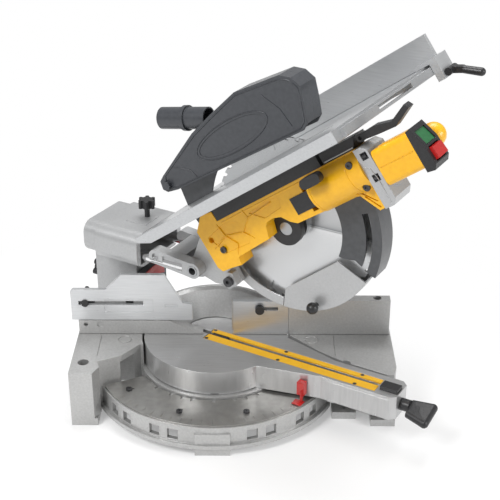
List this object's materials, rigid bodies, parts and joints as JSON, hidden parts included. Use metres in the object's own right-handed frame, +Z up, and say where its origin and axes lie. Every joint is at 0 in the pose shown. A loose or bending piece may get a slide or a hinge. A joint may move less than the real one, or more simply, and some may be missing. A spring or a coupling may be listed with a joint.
{
  "type": "mitre saw",
  "caption": "Table-top mitre saw: turning mitre table with arm and scale, tilting rail head, chop pivot, spring guard, disc blade, and an upper saw bench with riving knife and rip fence.",
  "frame": {"origin": "on the bench plane, under the vertical axis of the mitre table, at the centre of the four bench bolt holes", "axes": "+X to the right along the fence, -Y to the front, +Z up"},
  "size_m": [0.7327, 0.5954, 0.6657],
  "materials": {
    "base_casting": "cast, satin",
    "mitre_scale": "machined",
    "scale_screws": "ground",
    "table_pivot_bolt": "ground",
    "fence_casting": "cast, satin",
    "fence_bolts": "ground",
    "left_sliding_fence": "machined",
    "left_fence_knob": "black",
    "right_sliding_fence": "machined",
    "right_fence_knob": "black",
    "mitre_table": "machined",
    "kerf_plate_near": "yellow",
    "kerf_plate_far": "yellow",
    "kerf_screws": "ground",
    "kerf_insert": "black",
    "mitre_pointer": "white and red",
    "mitre_lock_handle": "black",
    "mitre_lock_rod": "ground",
    "detent_button": "black",
    "bevel_arc": "dark grey",
    "bevel_scale": "red",
    "bevel_pin": "ground",
    "rail_housing": "light grey paint",
    "rail_bushings": "sintered bronze",
    "bevel_lock_knob": "black",
    "rail_lock_knob": "black",
    "slide_rails": "polished",
    "rail_end_cap": "light grey paint",
    "carriage_arms": "light grey paint",
    "pivot_tube": "ground",
    "head_bracket": "light grey paint",
    "stop_bolt": "ground",
    "gear_case": "yellow",
    "case_screws": "ground",
    "label_plate": "black",
    "bench_skirt": "black",
    "end_bell": "light grey paint",
    "motor_field": "ground",
    "motor_armature": "copper windings",
    "switch_housing": "yellow",
    "switch_surround": "black",
    "start_button": "green",
    "stop_button": "red",
    "grip_handle": "yellow",
    "height_knob": "black",
    "release_lever": "black",
    "arbor_housing": "light grey paint",
    "arbor": "ground",
    "blade": "ground",
    "rear_guard": "light grey paint",
    "lower_guard": "light grey paint",
    "guard_knob": "black",
    "front_guard": "dark grey",
    "riving_knife": "dark grey",
    "upper_guard_left": "dark grey",
    "upper_guard_right": "dark grey",
    "dust_spout": "dark grey",
    "bench_table": "machined",
    "rip_fence": "machined",
    "rip_lock_lever": "black"
  },
  "bodies": {
    "base": {"base_casting": "base_casting", "mitre_scale": "mitre_scale", "scale_screws": "scale_screws", "table_pivot_bolt": "table_pivot_bolt", "fence_casting": "fence_casting", "fence_bolts": "fence_bolts"},
    "left_fence": {"left_sliding_fence": "left_sliding_fence"},
    "left_knob": {"left_fence_knob": "left_fence_knob"},
    "right_fence": {"right_sliding_fence": "right_sliding_fence"},
    "right_knob": {"right_fence_knob": "right_fence_knob"},
    "turntable": {"mitre_table": "mitre_table", "kerf_plate_near": "kerf_plate_near", "kerf_plate_far": "kerf_plate_far", "kerf_screws": "kerf_screws", "kerf_insert": "kerf_insert", "mitre_pointer": "mitre_pointer", "bevel_arc": "bevel_arc", "bevel_scale": "bevel_scale", "bevel_pin": "bevel_pin"},
    "mitre_lock": {"mitre_lock_handle": "mitre_lock_handle", "mitre_lock_rod": "mitre_lock_rod"},
    "detent": {"detent_button": "detent_button"},
    "bevel_frame": {"rail_housing": "rail_housing", "rail_bushings": "rail_bushings"},
    "bevel_knob": {"bevel_lock_knob": "bevel_lock_knob"},
    "rail_knob": {"rail_lock_knob": "rail_lock_knob"},
    "carriage": {"slide_rails": "slide_rails", "rail_end_cap": "rail_end_cap", "carriage_arms": "carriage_arms", "pivot_tube": "pivot_tube"},
    "head": {"head_bracket": "head_bracket", "stop_bolt": "stop_bolt", "gear_case": "gear_case", "case_screws": "case_screws", "label_plate": "label_plate", "bench_skirt": "bench_skirt", "end_bell": "end_bell", "motor_field": "motor_field", "switch_housing": "switch_housing", "switch_surround": "switch_surround", "grip_handle": "grip_handle", "arbor_housing": "arbor_housing", "rear_guard": "rear_guard", "front_guard": "front_guard", "riving_knife": "riving_knife"},
    "motor": {"motor_armature": "motor_armature"},
    "saw_arbor": {"arbor": "arbor", "blade": "blade"},
    "moving_guard": {"lower_guard": "lower_guard", "guard_knob": "guard_knob"},
    "start": {"start_button": "start_button"},
    "stop": {"stop_button": "stop_button"},
    "table_knob": {"height_knob": "height_knob"},
    "lever": {"release_lever": "release_lever"},
    "top_guard": {"upper_guard_left": "upper_guard_left", "upper_guard_right": "upper_guard_right", "dust_spout": "dust_spout"},
    "saw_bench": {"bench_table": "bench_table"},
    "bench_fence": {"rip_fence": "rip_fence"},
    "fence_lever": {"rip_lock_lever": "rip_lock_lever"}
  },
  "joints": [
    {"name": "mitre", "type": "hinge", "parent": "base", "child": "turntable", "pos_m": [0, 0, 0.11], "axis": [0, 0, 1], "range_deg": [-105, 0]},
    {"name": "mitre_lock_twist", "type": "hinge", "parent": "turntable", "child": "mitre_lock", "pos_m": [0.32822, -0.1895, 0.084], "axis": [0.866, -0.5, 0], "range_deg": [-60, 0]},
    {"name": "detent_press", "type": "slide", "parent": "turntable", "child": "detent", "axis": [0, 0, -1], "range_m": [0, 0.004], "stiffness_N_per_m": 600},
    {"name": "bevel", "type": "hinge", "parent": "turntable", "child": "bevel_frame", "pos_m": [-0.1732, 0.1, 0.086], "axis": [0.866, -0.5, 0], "range_deg": [0, 5]},
    {"name": "bevel_lock_turn", "type": "hinge", "parent": "bevel_frame", "child": "bevel_knob", "pos_m": [-0.21651, 0.125, 0.186], "axis": [0.866, -0.5, 0], "range_deg": [-90, 0]},
    {"name": "rail_lock_turn", "type": "hinge", "parent": "bevel_frame", "child": "rail_knob", "pos_m": [-0.12823, 0.08789, 0.33], "axis": [0, 0, 1], "range_deg": [-90, 90]},
    {"name": "carriage_slide", "type": "slide", "parent": "bevel_frame", "child": "carriage", "axis": [0.866, -0.5, 0], "range_m": [-0.05, 0]},
    {"name": "chop", "type": "hinge", "parent": "carriage", "child": "head", "pos_m": [-0.01039, 0.006, 0.266], "axis": [-0.5, -0.866, 0], "range_deg": [-36, 0], "stiffness_Nm_per_rad": 60, "springref_deg": 63.03},
    {"name": "guard_swing", "type": "hinge", "parent": "head", "child": "moving_guard", "pos_m": [0.14202, -0.082, 0.38274], "axis": [-0.5, -0.866, 0], "range_deg": [0, 85]},
    {"name": "blade_spin", "type": "hinge", "parent": "head", "child": "saw_arbor", "pos_m": [0.14202, -0.082, 0.38274], "axis": [-0.5, -0.866, 0], "continuous": true},
    {"name": "motor_spin", "type": "hinge", "parent": "head", "child": "motor", "pos_m": [0.20462, -0.17587, 0.49702], "axis": [0.7006, -0.4045, 0.5878], "continuous": true},
    {"name": "start_press", "type": "slide", "parent": "head", "child": "start", "axis": [-0.7006, 0.4045, -0.5878], "range_m": [0, 0.0015], "stiffness_N_per_m": 500},
    {"name": "stop_press", "type": "slide", "parent": "head", "child": "stop", "axis": [-0.7006, 0.4045, -0.5878], "range_m": [0, 0.0015], "stiffness_N_per_m": 500},
    {"name": "height_lock_turn", "type": "hinge", "parent": "head", "child": "table_knob", "pos_m": [0.16578, -0.19964, 0.51335], "axis": [-0.5, -0.866, 0], "range_deg": [0, 90]},
    {"name": "release_squeeze", "type": "hinge", "parent": "head", "child": "lever", "pos_m": [0.23935, -0.19593, 0.58302], "axis": [-0.5, -0.866, 0], "range_deg": [-8, 0], "stiffness_Nm_per_rad": 2, "springref_deg": 5.73},
    {"name": "upper_guard_lift", "type": "hinge", "parent": "head", "child": "top_guard", "pos_m": [-0.06847, 0.03953, 0.40763], "axis": [-0.5, -0.866, 0], "range_deg": [0, 20]},
    {"name": "bench_height", "type": "slide", "parent": "head", "child": "saw_bench", "axis": [-0.509, 0.2939, 0.809], "range_m": [0, 0.014]},
    {"name": "rip_fence_slide", "type": "slide", "parent": "saw_bench", "child": "bench_fence", "axis": [-0.5, -0.866, 0], "range_m": [0, 0.18]},
    {"name": "rip_lever_lift", "type": "hinge", "parent": "bench_fence", "child": "fence_lever", "pos_m": [0.4107, 0.0504, 0.61124], "axis": [-0.5, -0.866, 0], "range_deg": [0, 50]},
    {"name": "left_fence_slide", "type": "slide", "parent": "base", "child": "left_fence", "axis": [-1, 0, 0], "range_m": [0, 0.06]},
    {"name": "left_knob_turn", "type": "hinge", "parent": "base", "child": "left_knob", "pos_m": [-0.242, 0.03, 0.176], "axis": [0, 1, 0], "range_deg": [-90, 90]},
    {"name": "right_fence_slide", "type": "slide", "parent": "base", "child": "right_fence", "axis": [-1, 0, 0], "range_m": [0, 0.012]},
    {"name": "right_knob_turn", "type": "hinge", "parent": "base", "child": "right_knob", "pos_m": [0.082, 0.03, 0.165], "axis": [0, 1, 0], "range_deg": [-90, 90]}
  ],
  "couplings": [
    {"joint": "guard_swing", "follows": "chop", "ratio": -2.3611},
    {"joint": "motor_spin", "follows": "blade_spin", "ratio": 4}
  ]
}
